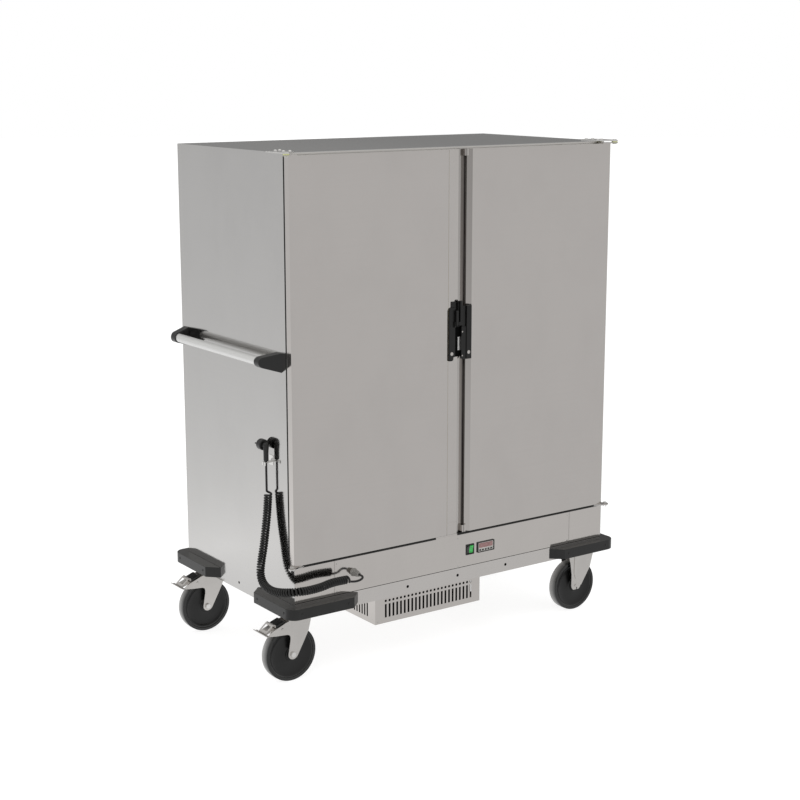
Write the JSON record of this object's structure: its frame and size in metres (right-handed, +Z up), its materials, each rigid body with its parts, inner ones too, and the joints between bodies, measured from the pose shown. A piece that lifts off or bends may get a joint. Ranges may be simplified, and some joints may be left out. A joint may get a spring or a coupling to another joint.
{
  "type": "insulated food carrier",
  "caption": "Insulated stainless food carrier on casters, with two hinged doors, tray runners, a cooling unit, corner bumpers, a push bar and a parked curly mains lead.",
  "frame": {"origin": "middle of the carrier's footprint, on the floor", "axes": "+Z up, the doors face -Y, the push handle is on the -X side"},
  "size_m": [1.5364, 0.8919, 1.841],
  "materials": {
    "steel_satin": "satin",
    "steel_inner": "satin",
    "zinc_steel": "satin",
    "chassis_steel": "matte",
    "coil_fins": "satin",
    "bar_aluminium": "gloss",
    "black_plastic": "satin",
    "grey_plastic": "satin",
    "nylon": "satin",
    "foam": "matte",
    "gasket_rubber": "matte",
    "cable_rubber": "satin",
    "wheel_rubber": "matte",
    "compressor_black": "gloss",
    "bezel_plastic": "satin",
    "window_plastic": "gloss",
    "button_plastic": "satin",
    "green_plastic": "gloss",
    "fan_plastic": "matte"
  },
  "bodies": {
    "cabinet": {"back_panel": "steel_satin", "base_front_panels": "steel_satin", "cable_gland": "grey_plastic", "caster_plates": "zinc_steel", "cavity_liner": "steel_inner", "chassis_frame": "chassis_steel", "compressor": "compressor_black", "controller_case": "bezel_plastic", "controller_window": "window_plastic", "cooling_unit": "coil_fins", "cord_coil": "cable_rubber", "cord_lead_gland": "cable_rubber", "cord_lead_plug": "cable_rubber", "corner_bumpers": "black_plastic", "door_frame": "steel_satin", "evaporator_cover": "steel_inner", "fasteners": "zinc_steel", "grille_housing": "steel_satin", "handle_brackets": "black_plastic", "hinge_brackets": "zinc_steel", "hinge_bushings": "nylon", "left_side_panel": "steel_satin", "plug": "black_plastic", "plug_clip": "zinc_steel", "push_bar": "bar_aluminium", "rack_uprights": "steel_inner", "right_side_panel": "steel_satin", "rigid_forks": "zinc_steel", "switch_frame": "black_plastic", "top_panel": "steel_satin", "tray_runners": "steel_inner", "wall_insulation": "foam"},
    "door_left": {"door_left_skin": "steel_satin", "door_left_core": "foam", "door_left_liner": "steel_inner", "door_left_gasket": "gasket_rubber", "latch_housing": "black_plastic"},
    "door_right": {"door_right_skin": "steel_satin", "door_right_core": "foam", "door_right_liner": "steel_inner", "door_right_gasket": "gasket_rubber", "strike_plate": "black_plastic"},
    "lever_left": {"latch_lever_left": "black_plastic"},
    "lever_right": {"latch_lever_right": "black_plastic"},
    "rocker": {"rocker": "green_plastic"},
    "caster_front_left": {"caster_fork_front": "zinc_steel"},
    "caster_rear_left": {"caster_fork_rear": "zinc_steel"},
    "brake_front": {"brake_pedal_front": "zinc_steel"},
    "brake_rear": {"brake_pedal_rear": "zinc_steel"},
    "wheel_front_left": {"wheel_front_left": "wheel_rubber"},
    "wheel_rear_left": {"wheel_rear_left": "wheel_rubber"},
    "wheel_front_right": {"wheel_front_right": "wheel_rubber"},
    "wheel_rear_right": {"wheel_rear_right": "wheel_rubber"},
    "condenser_fan": {"condenser_fan": "fan_plastic"},
    "evaporator_fan": {"evaporator_fan": "fan_plastic"},
    "button_1": {"button_1": "button_plastic"},
    "button_2": {"button_2": "button_plastic"},
    "button_3": {"button_3": "button_plastic"},
    "button_4": {"button_4": "button_plastic"},
    "button_5": {"button_5": "button_plastic"}
  },
  "joints": [
    {"name": "door_left_hinge", "type": "hinge", "parent": "cabinet", "child": "door_left", "pos_m": [-0.6882, -0.392, 1.13], "axis": [0, 0, 1], "range_deg": [-210, 0]},
    {"name": "door_right_hinge", "type": "hinge", "parent": "cabinet", "child": "door_right", "pos_m": [0.7378, -0.392, 1.13], "axis": [0, 0, 1], "range_deg": [0, 270]},
    {"name": "latch_lever_left_pull", "type": "hinge", "parent": "door_left", "child": "lever_left", "pos_m": [0.003, -0.395, 1.211], "axis": [1, 0, 0], "range_deg": [0, 25], "stiffness_Nm_per_rad": 0.6},
    {"name": "latch_lever_right_pull", "type": "hinge", "parent": "door_left", "child": "lever_right", "pos_m": [0.0168, -0.395, 1.211], "axis": [1, 0, 0], "range_deg": [0, 25], "stiffness_Nm_per_rad": 0.6},
    {"name": "rocker_tilt", "type": "hinge", "parent": "cabinet", "child": "rocker", "pos_m": [0.0808, -0.381, 0.36575], "axis": [1, 0, 0], "range_deg": [-16, 0]},
    {"name": "button_1_press", "type": "slide", "parent": "cabinet", "child": "button_1", "axis": [0, 1, 0], "range_m": [0, 0.001], "stiffness_N_per_m": 300},
    {"name": "button_2_press", "type": "slide", "parent": "cabinet", "child": "button_2", "axis": [0, 1, 0], "range_m": [0, 0.001], "stiffness_N_per_m": 300},
    {"name": "button_3_press", "type": "slide", "parent": "cabinet", "child": "button_3", "axis": [0, 1, 0], "range_m": [0, 0.001], "stiffness_N_per_m": 300},
    {"name": "button_4_press", "type": "slide", "parent": "cabinet", "child": "button_4", "axis": [0, 1, 0], "range_m": [0, 0.001], "stiffness_N_per_m": 300},
    {"name": "button_5_press", "type": "slide", "parent": "cabinet", "child": "button_5", "axis": [0, 1, 0], "range_m": [0, 0.001], "stiffness_N_per_m": 300},
    {"name": "caster_front_left_swivel", "type": "hinge", "parent": "cabinet", "child": "caster_front_left", "pos_m": [-0.6072, -0.301, 0.245], "axis": [0, 0, 1], "continuous": true},
    {"name": "caster_rear_left_swivel", "type": "hinge", "parent": "cabinet", "child": "caster_rear_left", "pos_m": [-0.6052, 0.321, 0.245], "axis": [0, 0, 1], "continuous": true},
    {"name": "brake_front_press", "type": "hinge", "parent": "caster_front_left", "child": "brake_front", "pos_m": [-0.6912, -0.301, 0.2], "axis": [0, 1, 0], "range_deg": [-8, 0]},
    {"name": "brake_rear_press", "type": "hinge", "parent": "caster_rear_left", "child": "brake_rear", "pos_m": [-0.6892, 0.321, 0.2], "axis": [0, 1, 0], "range_deg": [-8, 0]},
    {"name": "wheel_front_left_roll", "type": "hinge", "parent": "caster_front_left", "child": "wheel_front_left", "pos_m": [-0.6512, -0.301, 0.1], "axis": [0, 1, 0], "continuous": true},
    {"name": "wheel_rear_left_roll", "type": "hinge", "parent": "caster_rear_left", "child": "wheel_rear_left", "pos_m": [-0.6492, 0.321, 0.1], "axis": [0, 1, 0], "continuous": true},
    {"name": "wheel_front_right_roll", "type": "hinge", "parent": "cabinet", "child": "wheel_front_right", "pos_m": [0.6548, -0.301, 0.1], "axis": [0, 1, 0], "continuous": true},
    {"name": "wheel_rear_right_roll", "type": "hinge", "parent": "cabinet", "child": "wheel_rear_right", "pos_m": [0.6548, 0.324, 0.1], "axis": [0, 1, 0], "continuous": true},
    {"name": "condenser_fan_spin", "type": "hinge", "parent": "cabinet", "child": "condenser_fan", "pos_m": [-0.1902, -0.273, 0.282], "axis": [0, 1, 0], "continuous": true},
    {"name": "evaporator_fan_spin", "type": "hinge", "parent": "cabinet", "child": "evaporator_fan", "pos_m": [0.0248, 0.27, 1.721], "axis": [0, 0, 1], "continuous": true}
  ]
}
